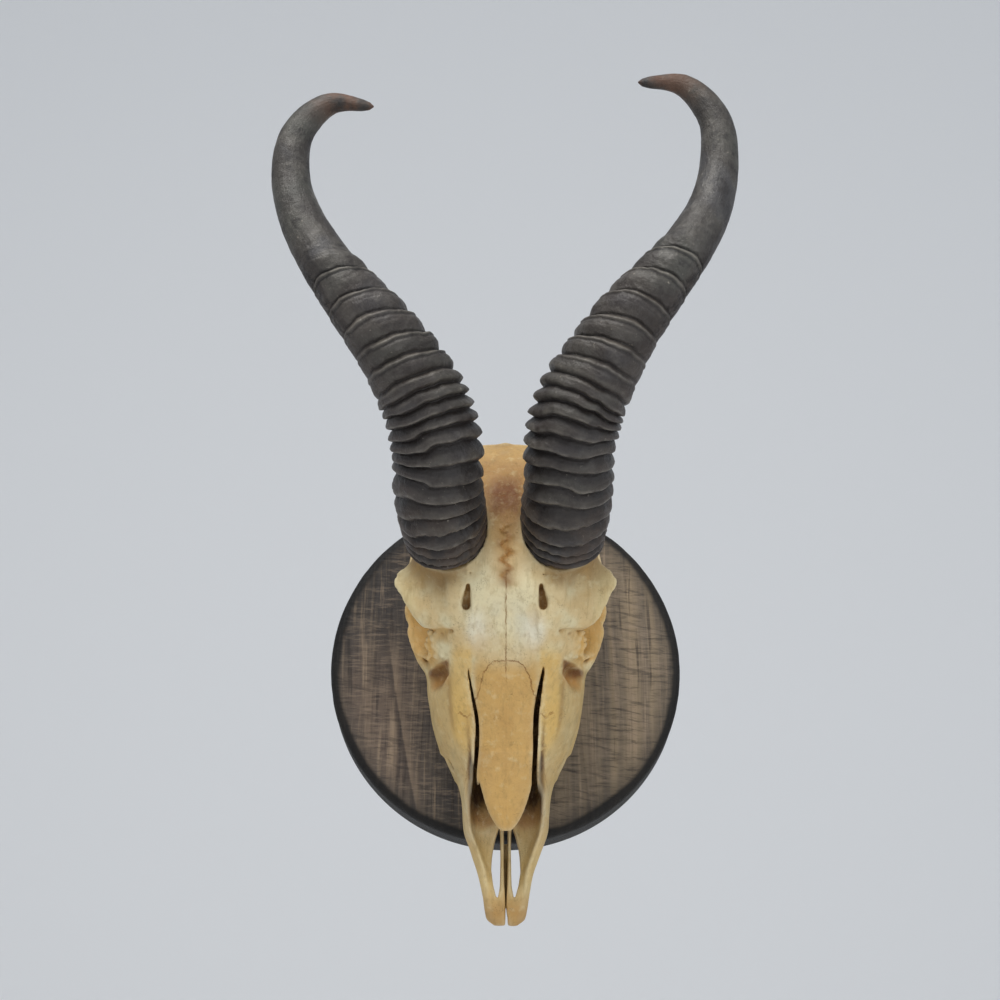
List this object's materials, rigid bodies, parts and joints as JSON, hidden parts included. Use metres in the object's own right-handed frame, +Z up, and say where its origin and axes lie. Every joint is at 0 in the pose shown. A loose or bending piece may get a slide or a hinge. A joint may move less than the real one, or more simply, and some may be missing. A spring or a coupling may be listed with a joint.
{
  "type": "mounted antelope skull",
  "caption": "Springbok skull with black ringed lyre-shaped horns, without its lower jaw, fixed flat on a round dark-stained wooden wall plaque.",
  "frame": {"origin": "centre of the plaque's back face, where it lies against the wall", "axes": "+Z up as it hangs (horn tips up, nose down), +Y out of the plaque's back into the wall, the skull standing out to -Y, +X to the viewer's right from the front"},
  "size_m": [0.2016, 0.1882, 0.3497],
  "materials": {
    "bone": "dry matt bone, cream on the forehead and amber on the nose and cheeks",
    "horn": "near-black ringed keratin with a dull sheen, smoother toward the tips",
    "tooth": "satin enamel with brown staining",
    "wood": "weathered grey-brown stain with upright grain and a near-black rounded edge",
    "fixing_steel": "plain zinc-plated"
  },
  "bodies": {
    "root": {"skull": "bone", "horn_right": "horn", "horn_left": "horn", "premolar_2_right": "tooth", "premolar_3_right": "tooth", "premolar_4_right": "tooth", "molar_1_right": "tooth", "molar_2_right": "tooth", "molar_3_right": "tooth", "premolar_2_left": "tooth", "premolar_3_left": "tooth", "premolar_4_left": "tooth", "molar_1_left": "tooth", "molar_2_left": "tooth", "molar_3_left": "tooth", "plaque": "wood", "mounting_screw": "fixing_steel", "hanger": "fixing_steel", "hanger_nail_right": "fixing_steel", "hanger_nail_left": "fixing_steel"}
  },
  "joints": []
}
